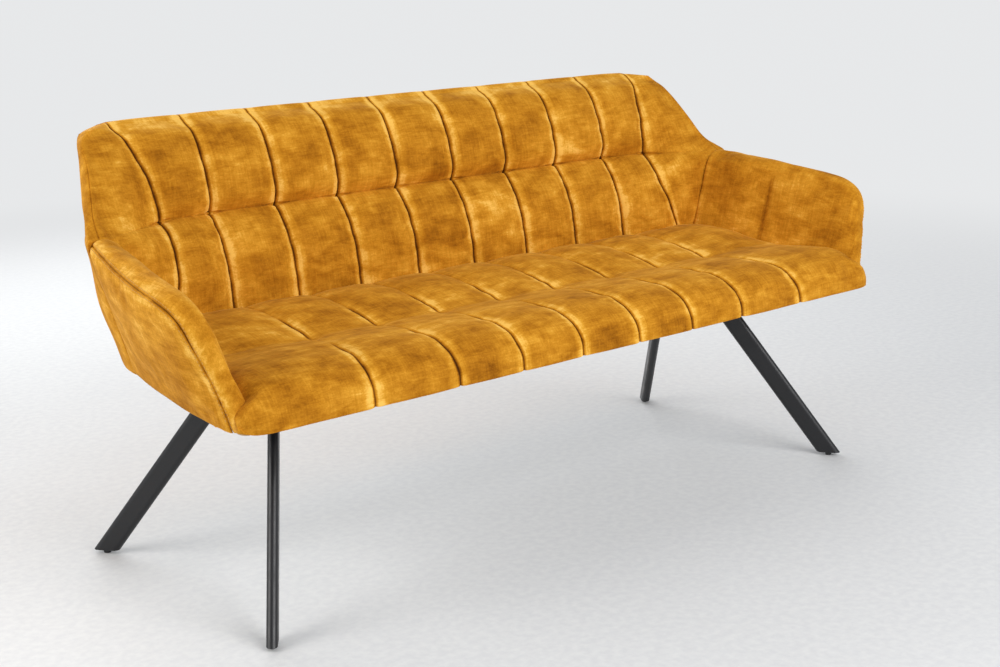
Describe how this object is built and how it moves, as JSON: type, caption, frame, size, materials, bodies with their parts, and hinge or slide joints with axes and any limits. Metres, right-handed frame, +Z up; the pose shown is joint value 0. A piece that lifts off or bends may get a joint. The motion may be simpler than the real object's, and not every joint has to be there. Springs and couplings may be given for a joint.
{
  "type": "upholstered bench",
  "caption": "Long upholstered bench with a channelled, tufted back and seat, flared padded arms and splayed flat-oval metal legs.",
  "frame": {"origin": "on the floor, under the centre of the bench's box", "axes": "+X along the bench to the sitter's left, +Y to the back, +Z up"},
  "size_m": [1.783, 0.7068, 0.836],
  "materials": {
    "velvet": "short-pile velvet, mottled",
    "black_steel": "satin powder coat",
    "zinc_steel": "zinc plated",
    "black_plastic": "matte",
    "plywood": "bare plywood",
    "timber": "bare sawn timber",
    "dust_cloth": "thin non-woven cloth"
  },
  "bodies": {
    "root": {"arm_batten_left": "timber", "arm_batten_right": "timber", "arm_frame_left": "plywood", "arm_frame_right": "plywood", "arm_pad_left": "velvet", "arm_pad_right": "velvet", "back_lower_rail": "timber", "back_pad": "velvet", "back_panel": "plywood", "back_rib_inner_left": "plywood", "back_rib_inner_right": "plywood", "back_rib_outer_left": "plywood", "back_rib_outer_right": "plywood", "back_top_rail": "timber", "dust_cover": "dust_cloth", "glide_front_left": "black_plastic", "glide_front_right": "black_plastic", "glide_rear_left": "black_plastic", "glide_rear_right": "black_plastic", "leg_bolts": "zinc_steel", "leg_front_left": "black_steel", "leg_front_right": "black_steel", "leg_plate_left": "black_steel", "leg_plate_right": "black_steel", "leg_plug_front_left": "black_plastic", "leg_plug_front_right": "black_plastic", "leg_plug_rear_left": "black_plastic", "leg_plug_rear_right": "black_plastic", "leg_rear_left": "black_steel", "leg_rear_right": "black_steel", "outer_arm_cover_left": "velvet", "outer_arm_cover_right": "velvet", "outer_back_cover": "velvet", "seat_board": "plywood", "seat_cushion": "velvet", "t_nuts": "zinc_steel"}
  },
  "joints": []
}
